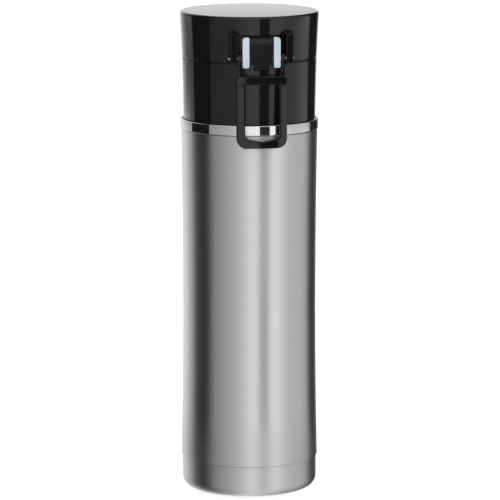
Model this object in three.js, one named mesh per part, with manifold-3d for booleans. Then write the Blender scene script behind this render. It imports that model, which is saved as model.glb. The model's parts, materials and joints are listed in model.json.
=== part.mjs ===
// Vacuum flask with a screw-on lid, a hinged flip cap, a push latch and a carry loop.
// Millimetres, +Z up. The origin is the centre of the face that the flask stands on.
// The latch and the loop face -Y, and the cap's hinge is at +Y.

import * as THREE from 'three';
import { mergeVertices } from 'three/addons/utils/BufferGeometryUtils.js';
import Module from 'manifold-3d';

const wasm = await Module();
wasm.setup();

// ---------------------------------------------------------------- driving dimensions

const GAP = 0.3; // between pieces that touch
const SEGMENTS = 48; // round a large body
const SMALL_SEGMENTS = 24; // round a small one

const HEIGHT = 250.9; // at the middle of the domed top
const CAP_DOME = 0.4; // how far the middle stands above the top edge
const CAP_RADIUS = 36.05; // at the top edge
const COLLAR_RADIUS = 34.25; // where the lid meets the neck ring
const SEAM_Z = 226.6; // between the cap and the collar
const CAP_BOTTOM_Z = SEAM_Z + GAP / 2 + 0.05;
const CAP_EDGE_RADIUS = 1.3;

const RING_RADIUS = 35.8;
const RING_TOP_Z = 194.9;
const RING_BOTTOM_Z = 189.7;
const RING_EDGE = 0.4;

const SHELL_TOP_RADIUS = 35.3;
const WAIST_RADIUS = 34.55;
const WAIST_Z = 103.5;
const SHELL_BOTTOM_RADIUS = 35.6;
const SHELL_BOTTOM_Z = 17;
const SHELL_WALL = 0.5;
const SHOULDER_Z = 194.3;
const NECK_RADIUS = 27;
const NECK_TOP_Z = 212;

const LINER_RADIUS = 31.2;
const LINER_WALL = 0.5;
const LINER_BOTTOM_Z = 8;
const LINER_NECK_RADIUS = 25.6;

const BASE_RADIUS = 35;
const BASE_EDGE_RADIUS = 5;
const BASE_RIM_Z = 0.5; // the steel rim stays this far above the surface
const BASE_WALL = 0.5;
const PAD_RADIUS = 24.6;
const PAD_THICKNESS = 1.6;

const THREAD_PITCH = 4;
const THREAD_TURNS = 2;
const THREAD_START_Z = 198.5;
const THREAD_DEPTH = 1;
const SLEEVE_BORE_RADIUS = 28.4;

const DECK_Z = 215.1; // underside of the drinking deck
const DECK_THICKNESS = 2.2;
const SPOUT_RADIUS = 13.5;
const SPOUT_WALL = 2.2;
const SPOUT_TOP_Z = 236.8;

const HINGE = { y: 36.4, z: SEAM_Z, radius: 2.6, pin: 1.2, bore: 1.5 };
const HINGE_RELIEF = HINGE.radius + GAP;
const HINGE_WEB_Y = 33.4; // where the knuckles' webs start, inside the wall
const CAP_KNUCKLE = { from: 3.4, to: 6.7 };
const COLLAR_KNUCKLE = { from: 7, to: 11 };

const LATCH = { y: -34.3, z: 229.4, pin: 1, bore: 1.3, pinHalfLength: 17 };
const LEVER_FRONT_Y = -36.2;
const LEVER_BACK_Y = -32.3;
const LEVER_TOP_Z = 239.5;
const LEVER_CHAMFER_Z = 235.5;
const LEVER_BOTTOM_Z = 226;
const LEVER_HALF_WIDTH = 5.8;
const ACCENT = { inner: 6.1, outer: 10, bottom: 224.4, top: 240.9, front: -36.3, back: -33.3 };
const COLLAR_CLEAR_Y = -35.15; // the latch's lower end stays in front of this plane
const HOOK = { halfWidth: 3.2, bottom: 223.4, noseTop: 224 };
const CATCH = { halfWidth: 3.7, floor: -33.85, bottom: 223.1, top: 225.4 };

const EAR = { inner: 12.6, outer: 16.3, front: -37.4, back: -30.6, innerTop: 241.2, outerTop: 243 };
const POCKET = {
  floor: -29.3,
  housingFront: -31.5,
  top: 241.5,
  halfWidth: 10.35,
  hubHalfWidth: 12.3,
  hubTop: 232.4,
};
const POCKET_WALL = 1.6;

const LOOP = {
  top: 220.7,
  crossBottom: 216.75,
  bottom: 183.7,
  outer: 13,
  inner: 9,
  innerCornerZ: 190.3,
  veeZ: 188.5,
  veeHalfWidth: 7,
  veeTipZ: 187.1,
  thickness: 2.4,
  planRadius: 68,
  middleY: -36.2, // at the cross bar's height
  tilt: 2.4, // degrees, lower end forward
  outerCorner: 5,
};
const LOOP_LEG = { inner: 10.4, outer: 11.9, wideInner: 9.2, wideOuter: 11.6, wideTopZ: 223.1 };
const LOOP_HUB_RADIUS = 2.5;

// ---------------------------------------------------------------- materials

const material = (color, roughness, metalness) =>
  new THREE.MeshStandardMaterial({ color, roughness, metalness });

const brushedSteel = () => material(0xb9bbbd, 0.3, 1);
const polishedSteel = () => material(0xd8dadc, 0.06, 1);
const linerSteel = () => material(0xa8aaac, 0.4, 1);
const pinSteel = () => material(0xc4c6c8, 0.2, 1);
const foil = () => material(0xc9cbce, 0.35, 1);
const glossBlack = () => material(0x18181a, 0.12, 0);
const satinBlack = () => material(0x1b1b1c, 0.4, 0);
const innerPlastic = () => material(0x2a2b2d, 0.5, 0);
const paleAccent = () => material(0xc3d0da, 0.4, 0);
const silicone = () => material(0xd9dbd8, 0.6, 0);
const padRubber = () => material(0x202122, 0.8, 0);
const sealGlass = () => material(0x8f9a94, 0.15, 0);
const getterMetal = () => material(0x6f7072, 0.6, 1);

// ---------------------------------------------------------------- geometry helpers

// Shares vertices and drops the empty triangles that a lathe makes on its axis.
function closed(geometry) {
  const bare = geometry.clone();
  bare.deleteAttribute('normal');
  bare.deleteAttribute('uv');
  const merged = mergeVertices(bare, 1e-4);
  const corners = merged.index.array;
  const kept = [];
  for (let i = 0; i < corners.length; i += 3) {
    const [a, b, c] = [corners[i], corners[i + 1], corners[i + 2]];
    if (a !== b && b !== c && c !== a) kept.push(a, b, c);
  }
  merged.setIndex(kept);
  return merged;
}

function solidOf(geometry) {
  const shared = closed(geometry);
  const vertProperties = new Float32Array(shared.attributes.position.array);
  const triVerts = new Uint32Array(shared.index.array);
  return new wasm.Manifold(new wasm.Mesh({ numProp: 3, vertProperties, triVerts }));
}

function geometryOf(solid) {
  const mesh = solid.getMesh();
  const geometry = new THREE.BufferGeometry();
  geometry.setAttribute('position', new THREE.BufferAttribute(mesh.vertProperties, 3));
  geometry.setIndex(new THREE.BufferAttribute(mesh.triVerts, 1));
  return geometry;
}

function join(first, ...others) {
  return geometryOf(others.reduce((solid, other) => solid.add(solidOf(other)), solidOf(first)));
}

function cut(first, ...tools) {
  return geometryOf(tools.reduce((solid, tool) => solid.subtract(solidOf(tool)), solidOf(first)));
}

function overlap(first, second) {
  return geometryOf(solidOf(first).intersect(solidOf(second)));
}

const point = (r, z) => new THREE.Vector2(r, z);

// A profile of (radius, height) points runs up the outside and down the inside.
function revolve(profile, segments = SEGMENTS) {
  const onAxis = profile[0].x === 0 && profile.at(-1).x === 0;
  const points = onAxis ? profile : [...profile, profile[0].clone()];
  return closed(new THREE.LatheGeometry(points, segments).rotateX(Math.PI / 2));
}

// An arc of a profile about (r, z), from one angle to another in degrees, 0 being outward.
function arc(r, z, radius, from, to, steps) {
  return Array.from({ length: steps + 1 }, (_, i) => {
    const angle = THREE.MathUtils.degToRad(from + ((to - from) * i) / steps);
    return point(r + radius * Math.cos(angle), z + radius * Math.sin(angle));
  });
}

function outline(points) {
  return new THREE.Shape(points.map(([u, v]) => point(u, v)));
}

function box(x, y, z) {
  const geometry = new THREE.BoxGeometry(x[1] - x[0], y[1] - y[0], z[1] - z[0]);
  return geometry.translate((x[0] + x[1]) / 2, (y[0] + y[1]) / 2, (z[0] + z[1]) / 2);
}

const X = new THREE.Vector3(1, 0, 0);
const Y = new THREE.Vector3(0, 1, 0);
const Z = new THREE.Vector3(0, 0, 1);

// A side view drawn in (y, z), extruded between two x values.
function extrudeX(shape, from, to) {
  const geometry = new THREE.ExtrudeGeometry(shape, { depth: to - from, bevelEnabled: false });
  return geometry.applyMatrix4(new THREE.Matrix4().makeBasis(Y, Z, X)).translate(from, 0, 0);
}

// A front view drawn in (x, z), extruded between two y values.
function extrudeY(shape, from, to, curveSegments = 6) {
  const options = { depth: to - from, bevelEnabled: false, curveSegments };
  const geometry = new THREE.ExtrudeGeometry(shape, options);
  const towardsFront = Y.clone().negate();
  return geometry.applyMatrix4(new THREE.Matrix4().makeBasis(X, Z, towardsFront)).translate(0, to, 0);
}

function rodX(radius, from, to, y, z, segments = SMALL_SEGMENTS) {
  const rod = new THREE.CylinderGeometry(radius, radius, to - from, segments);
  return rod.rotateZ(Math.PI / 2).translate((from + to) / 2, y, z);
}

function mirroredX(geometry) {
  const flipped = closed(geometry).scale(-1, 1, 1);
  const corners = flipped.index.array;
  for (let i = 0; i < corners.length; i += 3) {
    [corners[i + 1], corners[i + 2]] = [corners[i + 2], corners[i + 1]];
  }
  return flipped;
}

// A pin along X with rounded ends.
function pinX(radius, halfLength, y, z) {
  const dome = radius * 0.3;
  const end = halfLength - dome;
  const profile = [
    point(0, -halfLength),
    point(radius * 0.7, -halfLength + dome * 0.3),
    point(radius, -end),
    point(radius, end),
    point(radius * 0.7, halfLength - dome * 0.3),
    point(0, halfLength),
  ];
  return revolve(profile, SMALL_SEGMENTS).rotateY(Math.PI / 2).translate(0, y, z);
}

class Helix extends THREE.Curve {
  constructor(radius, length, turns) {
    super();
    Object.assign(this, { radius, length, turns });
  }

  getPoint(t, target = new THREE.Vector3()) {
    const angle = 2 * Math.PI * this.turns * t;
    const along = this.length * (t - 0.5);
    return target.set(this.radius * Math.cos(angle), this.radius * Math.sin(angle), along);
  }
}

// A coil spring along Z, centred on the origin.
function coil(radius, wireRadius, length, turns) {
  const wire = new THREE.Shape().absarc(0, 0, wireRadius, 0, 2 * Math.PI);
  const extrudePath = new Helix(radius, length - 2 * wireRadius, turns);
  return closed(new THREE.ExtrudeGeometry(wire, { steps: 9 * turns, curveSegments: 3, extrudePath }));
}

// A helical thread ridge. It stands out from the wall at wallRadius by depth, inward if negative.
function threadRidge(wallRadius, depth, startZ, turns) {
  const rootHalf = 0.9;
  const crestHalf = 0.4;
  const buried = -0.4 * Math.sign(depth);
  const runOut = 0.08; // of the ridge's length, at each end
  const profile = outline([
    [-rootHalf, buried],
    [rootHalf, buried],
    [crestHalf, depth],
    [-crestHalf, depth],
  ]);
  const steps = Math.round(24 * turns);
  const ridge = new THREE.ExtrudeGeometry(profile, { depth: 1, steps, bevelEnabled: false });
  const places = ridge.attributes.position;
  for (let i = 0; i < places.count; i++) {
    const along = places.getZ(i);
    const height = Math.min(1, 0.25 + Math.min(along, 1 - along) / runOut);
    const rise = places.getY(i);
    const radius = wallRadius + (rise === buried ? rise : rise * height);
    const angle = 2 * Math.PI * turns * along;
    const z = startZ + THREAD_PITCH * turns * along + places.getX(i);
    places.setXYZ(i, radius * Math.cos(angle), radius * Math.sin(angle), z);
  }
  return ridge;
}

// ---------------------------------------------------------------- outer form

// The lid flares upward from the neck ring to the cap's top edge.
function lidRadius(z) {
  const rise = (z - RING_TOP_Z) / (HEIGHT - RING_TOP_Z);
  const flare = CAP_RADIUS - COLLAR_RADIUS;
  return COLLAR_RADIUS + flare * (0.45 * rise + 0.55 * rise ** 2.5);
}

// The body narrows to a waist from both ends.
function bodyRadius(z) {
  const [endRadius, endZ] =
    z > WAIST_Z ? [SHELL_TOP_RADIUS, RING_BOTTOM_Z] : [SHELL_BOTTOM_RADIUS, SHELL_BOTTOM_Z];
  return WAIST_RADIUS + (endRadius - WAIST_RADIUS) * ((z - WAIST_Z) / (endZ - WAIST_Z)) ** 2;
}

function wallLine(radiusAt, from, to, steps, inset = 0) {
  return Array.from({ length: steps + 1 }, (_, i) => {
    const z = from + ((to - from) * i) / steps;
    return point(radiusAt(z) - inset, z);
  });
}

// ---------------------------------------------------------------- vacuum vessel

function outerShell() {
  const stepZ = RING_BOTTOM_Z - GAP;
  const stepRadius = RING_RADIUS - 1.6;
  const shell = revolve([
    ...wallLine(bodyRadius, SHELL_BOTTOM_Z, stepZ, 6),
    point(stepRadius, stepZ),
    point(stepRadius, SHOULDER_Z - 0.8),
    point(stepRadius - 0.8, SHOULDER_Z),
    point(NECK_RADIUS + 0.6, SHOULDER_Z),
    point(NECK_RADIUS, SHOULDER_Z + 0.6),
    point(NECK_RADIUS, NECK_TOP_Z),
    point(NECK_RADIUS - SHELL_WALL, NECK_TOP_Z),
    point(NECK_RADIUS - SHELL_WALL, SHOULDER_Z - SHELL_WALL),
    point(stepRadius - 1.2, SHOULDER_Z - SHELL_WALL),
    point(stepRadius - SHELL_WALL, stepZ - 1),
    ...wallLine(bodyRadius, stepZ - 2.5, SHELL_BOTTOM_Z, 4, SHELL_WALL),
  ]);
  return join(shell, threadRidge(NECK_RADIUS, THREAD_DEPTH, THREAD_START_Z, THREAD_TURNS));
}

function innerLiner() {
  const inside = LINER_RADIUS - LINER_WALL;
  const neckInside = LINER_NECK_RADIUS - LINER_WALL;
  const cornerRadius = 8;
  const taperFrom = 179;
  const taperTo = 190;
  const lipZ = NECK_TOP_Z + GAP;
  const centre = [LINER_RADIUS - cornerRadius, LINER_BOTTOM_Z + cornerRadius];
  return revolve(
    [
      point(0, LINER_BOTTOM_Z),
      ...arc(...centre, cornerRadius, -90, 0, 3),
      point(LINER_RADIUS, taperFrom),
      point(LINER_NECK_RADIUS, taperTo),
      point(LINER_NECK_RADIUS, lipZ),
      point(NECK_RADIUS, lipZ),
      point(NECK_RADIUS, lipZ + LINER_WALL),
      point(neckInside, lipZ + LINER_WALL),
      point(neckInside, taperTo),
      point(inside, taperFrom),
      ...arc(...centre, cornerRadius - LINER_WALL, 0, -90, 3),
      point(0, LINER_BOTTOM_Z + LINER_WALL),
    ],
    36,
  );
}

function baseCup() {
  const lipRadius = SHELL_BOTTOM_RADIUS - SHELL_WALL - 0.4;
  const lipTop = SHELL_BOTTOM_Z + 4;
  const top = SHELL_BOTTOM_Z - GAP;
  const recessZ = PAD_THICKNESS + GAP;
  const recessRadius = PAD_RADIUS + GAP;
  const holeRadius = 1.5;
  const centre = [BASE_RADIUS - BASE_EDGE_RADIUS, BASE_RIM_Z + BASE_EDGE_RADIUS];
  return revolve([
    point(holeRadius, recessZ),
    point(recessRadius, recessZ),
    point(recessRadius + 0.3, BASE_RIM_Z),
    ...arc(...centre, BASE_EDGE_RADIUS, -90, 0, 4),
    point(BASE_RADIUS, top),
    point(lipRadius, top),
    point(lipRadius, lipTop),
    point(lipRadius - BASE_WALL, lipTop),
    point(lipRadius - BASE_WALL, top - BASE_WALL),
    ...arc(...centre, BASE_EDGE_RADIUS - BASE_WALL, 0, -90, 3),
    point(recessRadius + 1.1, BASE_RIM_Z + BASE_WALL),
    point(recessRadius + 0.8, recessZ + BASE_WALL),
    point(holeRadius, recessZ + BASE_WALL),
  ]);
}

function basePad() {
  const chamfer = 0.3;
  return revolve([
    point(0, 0),
    point(PAD_RADIUS - chamfer, 0),
    point(PAD_RADIUS, chamfer),
    point(PAD_RADIUS, PAD_THICKNESS),
    point(0, PAD_THICKNESS),
  ]);
}

// The bead that closes the hole through which the gap between the walls was pumped out.
function vacuumSeal() {
  const bottom = PAD_THICKNESS + GAP;
  const headZ = bottom + BASE_WALL + GAP;
  return revolve(
    [
      point(0, bottom),
      point(1.2, bottom),
      point(1.2, headZ),
      point(2.6, headZ),
      point(2.1, headZ + 0.8),
      point(0, headZ + 1.2),
    ],
    16,
  );
}

// A pill of getter metal that keeps the vacuum clean, welded to the base cup.
function getter() {
  const radius = 4;
  const bottom = PAD_THICKNESS + BASE_WALL + 2 * GAP;
  const pill = [
    point(0, bottom),
    point(radius, bottom),
    point(radius, bottom + 1.4),
    point(radius - 0.5, bottom + 2),
    point(0, bottom + 2),
  ];
  return revolve(pill, 16).translate(14, 0, 0);
}

// A foil wrap that keeps radiated heat inside the liner.
function heatShield() {
  const inside = LINER_RADIUS + 1.2;
  const outside = inside + 0.3;
  const [bottom, top] = [26, 174];
  return revolve(
    [point(inside, bottom), point(outside, bottom), point(outside, top), point(inside, top)],
    40,
  );
}

function neckTrimRing() {
  const inside = RING_RADIUS - 1.3;
  const corner = RING_RADIUS - RING_EDGE;
  return revolve([
    point(inside, RING_BOTTOM_Z),
    ...arc(corner, RING_BOTTOM_Z + RING_EDGE, RING_EDGE, -90, 0, 1),
    ...arc(corner, RING_TOP_Z - RING_EDGE, RING_EDGE, 0, 90, 1),
    point(inside, RING_TOP_Z),
  ]);
}

function neckGasket() {
  const bottom = NECK_TOP_Z + 2 * GAP + LINER_WALL;
  const top = DECK_Z - GAP;
  const [inside, outside] = [25.1, 27.4];
  return revolve(
    [point(inside, bottom), point(outside, bottom), point(outside, top), point(inside, top)],
    40,
  );
}

// ---------------------------------------------------------------- lid base

function hingeKnuckle(range, webZ, wallY, direction) {
  const barrel = rodX(HINGE.radius, range.from, range.to, HINGE.y, HINGE.z);
  const edgeZ = HINGE.z + 0.3 * direction;
  const web = outline([
    [HINGE_WEB_Y, edgeZ],
    [HINGE.y + HINGE.radius * 0.95, edgeZ],
    [wallY, webZ],
    [HINGE_WEB_Y, webZ],
  ]);
  return join(barrel, extrudeX(web, range.from, range.to));
}

const hingeBore = () => rodX(HINGE.bore, -14, 14, HINGE.y, HINGE.z);

function lidCollar() {
  const bottom = RING_TOP_Z + GAP;
  const top = SEAM_Z - GAP / 2;
  const wall = 1.8;
  const skirtInside = 32.4;
  const ledgeInside = 31.3;
  const ledgeZ = DECK_Z - GAP;
  const skirt = revolve([
    ...wallLine(lidRadius, bottom, top, 3),
    point(lidRadius(top) - wall, top),
    point(skirtInside + 0.2, ledgeZ),
    point(ledgeInside, ledgeZ),
    point(ledgeInside, ledgeZ - 1.2),
    point(skirtInside, ledgeZ - 2.4),
    point(skirtInside, bottom),
  ]);
  const right = hingeKnuckle(COLLAR_KNUCKLE, SEAM_Z - 8, 34.6, -1);
  const capSide = COLLAR_KNUCKLE.from - 0.15;
  const relief = rodX(HINGE_RELIEF, -capSide, capSide, HINGE.y, HINGE.z);
  const { halfWidth, floor, bottom: recessBottom, top: recessTop } = CATCH;
  const catchRecess = box([-halfWidth, halfWidth], [-40, floor], [recessBottom, recessTop]);
  return cut(join(cut(skirt, relief), right, mirroredX(right)), hingeBore(), catchRecess);
}

// The inner sleeve screws onto the neck and carries the drinking deck.
function threadSleeve() {
  const outside = 30.4;
  const deckRadius = 32.3;
  const deckTop = DECK_Z + DECK_THICKNESS;
  const bottom = 197;
  const turns = 1.25;
  const sleeve = revolve([
    point(SLEEVE_BORE_RADIUS, bottom),
    point(outside, bottom),
    point(outside, DECK_Z),
    point(deckRadius, DECK_Z),
    point(deckRadius, deckTop),
    point(SPOUT_RADIUS + 0.4, deckTop),
    point(SPOUT_RADIUS + 0.4, DECK_Z),
    point(SLEEVE_BORE_RADIUS, DECK_Z),
  ]);
  const startZ = THREAD_START_Z + THREAD_PITCH / 2;
  return join(sleeve, threadRidge(SLEEVE_BORE_RADIUS, -THREAD_DEPTH, startZ, turns));
}

function spoutGasket() {
  const bottom = DECK_Z + DECK_THICKNESS + GAP;
  const [inside, outside] = [14.4, 17.6];
  return revolve(
    [point(inside, bottom), point(outside, bottom), point(outside, bottom + 1), point(inside, bottom + 1)],
    32,
  );
}

function drinkingSpout() {
  const flangeZ = DECK_Z + DECK_THICKNESS + 2 * GAP + 1;
  const flangeRadius = 19.5;
  const inside = SPOUT_RADIUS - SPOUT_WALL;
  const lipRadius = 1.1;
  const lip = [inside + lipRadius, SPOUT_TOP_Z - lipRadius];
  return revolve(
    [
      point(inside, DECK_Z + GAP),
      point(SPOUT_RADIUS, DECK_Z + GAP),
      point(SPOUT_RADIUS, flangeZ),
      point(flangeRadius, flangeZ),
      point(flangeRadius, flangeZ + 1.2),
      point(SPOUT_RADIUS + 1, flangeZ + 2),
      point(SPOUT_RADIUS - 0.2, flangeZ + 4),
      ...arc(...lip, lipRadius, 0, 180, 4),
    ],
    32,
  );
}

function hingePin() {
  return pinX(HINGE.pin, 11.5, HINGE.y, HINGE.z);
}

function hingeSpring() {
  return coil(1.85, 0.3, 5.8, 5).rotateY(Math.PI / 2).translate(0, HINGE.y, HINGE.z);
}

// ---------------------------------------------------------------- flip cap

function capBody() {
  const wall = 1.9;
  const innerTop = HEIGHT - CAP_DOME - 2.9;
  const edgeTop = HEIGHT - CAP_DOME;
  const edge = [CAP_RADIUS - CAP_EDGE_RADIUS, edgeTop - CAP_EDGE_RADIUS];
  const domeMiddle = point(edge[0] / 2, HEIGHT - CAP_DOME / 4);
  return revolve([
    point(0, innerTop),
    point(lidRadius(innerTop) - wall - 2, innerTop),
    point(lidRadius(innerTop) - wall, innerTop - 2),
    point(lidRadius(CAP_BOTTOM_Z) - wall, CAP_BOTTOM_Z),
    ...wallLine(lidRadius, CAP_BOTTOM_Z, edgeTop - 2, 5),
    ...arc(...edge, CAP_EDGE_RADIUS, 0, 90, 3),
    domeMiddle,
    point(0, HEIGHT),
  ]);
}

function ear() {
  const front = outline([
    [EAR.inner, CAP_BOTTOM_Z],
    [EAR.outer, CAP_BOTTOM_Z],
    [EAR.outer, EAR.outerTop],
    [EAR.inner, EAR.innerTop],
  ]);
  return extrudeY(front, EAR.front, EAR.back);
}

function flipCap() {
  const housingHalf = POCKET.hubHalfWidth + POCKET_WALL;
  const housing = box(
    [-housingHalf, housingHalf],
    [POCKET.housingFront, POCKET.floor + POCKET_WALL],
    [CAP_BOTTOM_Z, POCKET.top + POCKET_WALL],
  );
  const leverPocket = box(
    [-POCKET.halfWidth, POCKET.halfWidth],
    [-45, POCKET.floor],
    [CAP_BOTTOM_Z - 5, POCKET.top],
  );
  const hubPocket = box(
    [-POCKET.hubHalfWidth, POCKET.hubHalfWidth],
    [-45, POCKET.floor],
    [CAP_BOTTOM_Z - 5, POCKET.hubTop],
  );
  const knuckle = hingeKnuckle(CAP_KNUCKLE, SEAM_Z + 8, 35, 1);
  const outerRelief = rodX(HINGE_RELIEF, CAP_KNUCKLE.to + 0.15, 11.3, HINGE.y, HINGE.z);
  const springRelief = rodX(HINGE_RELIEF, -3.25, 3.25, HINGE.y, HINGE.z);
  const shell = cut(capBody(), outerRelief, mirroredX(outerRelief), springRelief);
  const whole = join(shell, housing, ear(), mirroredX(ear()), knuckle, mirroredX(knuckle));
  const pinBore = rodX(LATCH.bore, -20, 20, LATCH.y, LATCH.z);
  return cut(whole, leverPocket, hubPocket, pinBore, hingeBore());
}

// The plastic disc inside the cap that holds the seal over the spout.
function capLiner() {
  const sealTop = SPOUT_TOP_Z + GAP + 2.5;
  const discRadius = 31;
  const discZ = 243.6;
  return revolve(
    [
      point(0, sealTop + GAP),
      point(12, sealTop + GAP),
      point(12.5, discZ),
      point(discRadius, discZ),
      point(discRadius, discZ + 2),
      point(0, discZ + 2),
    ],
    40,
  );
}

function capSeal() {
  const face = SPOUT_TOP_Z + GAP;
  const plugDepth = 2.5;
  const thickness = 2.5;
  const rimRadius = 15.5;
  return revolve(
    [
      point(0, face - plugDepth),
      point(8.4, face - plugDepth),
      point(10.8, face),
      point(rimRadius, face),
      point(rimRadius, face + thickness - 0.7),
      point(rimRadius - 0.7, face + thickness),
      point(0, face + thickness),
    ],
    32,
  );
}

// ---------------------------------------------------------------- push latch

function latchPin() {
  return pinX(LATCH.pin, LATCH.pinHalfLength, LATCH.y, LATCH.z);
}

const latchBore = () => rodX(LATCH.bore, -12, 12, LATCH.y, LATCH.z);

const SPRING_SEAT = { z: 236, radius: 2.4, bottom: -34.4 };

function latchLever() {
  const side = outline([
    [LEVER_FRONT_Y, LEVER_BOTTOM_Z],
    [COLLAR_CLEAR_Y, LEVER_BOTTOM_Z],
    [COLLAR_CLEAR_Y, LEVER_BOTTOM_Z + 1.2],
    [LEVER_BACK_Y, LEVER_BOTTOM_Z + 2],
    [LEVER_BACK_Y, LEVER_TOP_Z],
    [LEVER_FRONT_Y + 1, LEVER_TOP_Z],
    [LEVER_FRONT_Y, LEVER_CHAMFER_Z],
  ]);
  const hook = outline([
    [LEVER_FRONT_Y + 0.2, LEVER_BOTTOM_Z + 0.5],
    [LEVER_FRONT_Y + 0.2, HOOK.noseTop],
    [LEVER_FRONT_Y + 0.6, HOOK.bottom],
    [COLLAR_CLEAR_Y, HOOK.bottom],
    [COLLAR_CLEAR_Y, LEVER_BOTTOM_Z + 0.5],
  ]);
  const block = extrudeX(side, -LEVER_HALF_WIDTH, LEVER_HALF_WIDTH);
  const tongue = extrudeX(hook, -HOOK.halfWidth, HOOK.halfWidth);
  const backPlate = box(
    [-ACCENT.outer, ACCENT.outer],
    [ACCENT.back + GAP, LEVER_BACK_Y],
    [LEVER_BOTTOM_Z + 2, LEVER_TOP_Z],
  );
  const seat = new THREE.CylinderGeometry(SPRING_SEAT.radius, SPRING_SEAT.radius, 10, 16);
  seat.translate(0, SPRING_SEAT.bottom + 5, SPRING_SEAT.z);
  return cut(join(block, tongue, backPlate), latchBore(), seat);
}

function accentBar() {
  const { inner, outer, bottom, top, front, back } = ACCENT;
  const small = 0.8;
  const large = 1.5;
  const bar = new THREE.Shape()
    .moveTo(inner + small, bottom)
    .lineTo(outer - small, bottom)
    .absarc(outer - small, bottom + small, small, -Math.PI / 2, 0)
    .lineTo(outer, top - large)
    .absarc(outer - large, top - large, large, 0, Math.PI / 2)
    .lineTo(inner + small / 2, top)
    .absarc(inner + small / 2, top - small / 2, small / 2, Math.PI / 2, Math.PI)
    .lineTo(inner, bottom + small)
    .absarc(inner + small, bottom + small, small, Math.PI, Math.PI * 1.5);
  const collarRoom = box([0, 20], [COLLAR_CLEAR_Y, 0], [bottom - 1, LEVER_BOTTOM_Z + 1.6]);
  return cut(extrudeY(bar, front, back, 3), collarRoom, latchBore());
}

function latchSpring() {
  const length = POCKET.floor - SPRING_SEAT.bottom - 2 * GAP;
  const middle = (POCKET.floor + SPRING_SEAT.bottom) / 2;
  return coil(1.8, 0.25, length, 5).rotateX(Math.PI / 2).translate(0, middle, SPRING_SEAT.z);
}

// ---------------------------------------------------------------- carry loop

// The loop's front view: a rounded frame whose window ends in a shallow vee.
function loopOutline() {
  const { outer, inner, top, bottom, outerCorner, crossBottom } = LOOP;
  const topCorner = 1.5;
  const frame = new THREE.Shape()
    .moveTo(-outer + outerCorner, bottom)
    .lineTo(outer - outerCorner, bottom)
    .absarc(outer - outerCorner, bottom + outerCorner, outerCorner, -Math.PI / 2, 0)
    .lineTo(outer, top - topCorner)
    .absarc(outer - topCorner, top - topCorner, topCorner, 0, Math.PI / 2)
    .lineTo(-outer + topCorner, top)
    .absarc(-outer + topCorner, top - topCorner, topCorner, Math.PI / 2, Math.PI)
    .lineTo(-outer, bottom + outerCorner)
    .absarc(-outer + outerCorner, bottom + outerCorner, outerCorner, Math.PI, Math.PI * 1.5);
  const window = outline([
    [-inner, crossBottom],
    [-inner, LOOP.innerCornerZ],
    [-LOOP.veeHalfWidth, LOOP.veeZ],
    [0, LOOP.veeTipZ],
    [LOOP.veeHalfWidth, LOOP.veeZ],
    [inner, LOOP.innerCornerZ],
    [inner, crossBottom],
  ]);
  frame.holes.push(window);
  return frame;
}

// A plate bowed in plan like the flask, leaning forward at its lower end.
function bowedPlate() {
  const { planRadius, thickness, middleY, tilt, top, crossBottom } = LOOP;
  const halfAngle = 0.24;
  const forward = -Math.PI / 2;
  const plan = new THREE.Shape()
    .absarc(0, 0, planRadius + thickness / 2, forward - halfAngle, forward + halfAngle)
    .absarc(0, 0, planRadius - thickness / 2, forward + halfAngle, forward - halfAngle, true);
  const options = { depth: 100, bevelEnabled: false, curveSegments: 12 };
  const plate = new THREE.ExtrudeGeometry(plan, options).translate(0, planRadius, -50);
  plate.rotateX(-THREE.MathUtils.degToRad(tilt));
  return plate.translate(0, middleY, (top + crossBottom) / 2);
}

function loopLeg() {
  const { thickness, middleY, top } = LOOP;
  const { inner, outer, wideInner, wideOuter, wideTopZ } = LOOP_LEG;
  const bow = 0.9; // how far the bowed plate falls back at the legs
  const [front, back] = [middleY - thickness / 2 + bow, middleY + thickness / 2 + bow - 0.3];
  const side = outline([
    [LATCH.y - LOOP_HUB_RADIUS + 0.3, LATCH.z],
    [front, wideTopZ],
    [front, top - 1],
    [back, top - 1],
    [back, wideTopZ],
    [LATCH.y + LOOP_HUB_RADIUS - 1.7, LATCH.z - 2.4],
    [LATCH.y + LOOP_HUB_RADIUS - 0.6, LATCH.z],
  ]);
  const hub = rodX(LOOP_HUB_RADIUS, inner, outer, LATCH.y, LATCH.z);
  const foot = box([wideInner, wideOuter], [front, back], [top - 1, wideTopZ]);
  return join(hub, extrudeX(side, inner, outer), foot);
}

function carryLoop() {
  const plate = overlap(extrudeY(loopOutline(), -45, -30), bowedPlate());
  const leg = loopLeg();
  return cut(join(plate, leg, mirroredX(leg)), latchBore());
}

// ---------------------------------------------------------------- assembly

function piece(name, geometry, finish) {
  const mesh = new THREE.Mesh(geometry, finish);
  mesh.name = name;
  return mesh;
}

function group(...members) {
  return new THREE.Group().add(...members);
}

const vessel = group(
  piece('outer_shell', outerShell(), brushedSteel()),
  piece('inner_liner', innerLiner(), linerSteel()),
  piece('base_cup', baseCup(), brushedSteel()),
  piece('base_pad', basePad(), padRubber()),
  piece('vacuum_seal', vacuumSeal(), sealGlass()),
  piece('getter', getter(), getterMetal()),
  piece('heat_shield_foil', heatShield(), foil()),
  piece('neck_trim_ring', neckTrimRing(), polishedSteel()),
);

const lidBase = group(
  piece('neck_gasket', neckGasket(), silicone()),
  piece('lid_collar', lidCollar(), glossBlack()),
  piece('thread_sleeve', threadSleeve(), innerPlastic()),
  piece('spout_gasket', spoutGasket(), silicone()),
  piece('drinking_spout', drinkingSpout(), innerPlastic()),
  piece('hinge_pin', hingePin(), pinSteel()),
  piece('hinge_spring', hingeSpring(), pinSteel()),
);

const cap = group(
  piece('flip_cap', flipCap(), glossBlack()),
  piece('cap_liner', capLiner(), innerPlastic()),
  piece('cap_seal', capSeal(), silicone()),
  piece('latch_pin', latchPin(), pinSteel()),
  piece('latch_spring', latchSpring(), pinSteel()),
);

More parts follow.
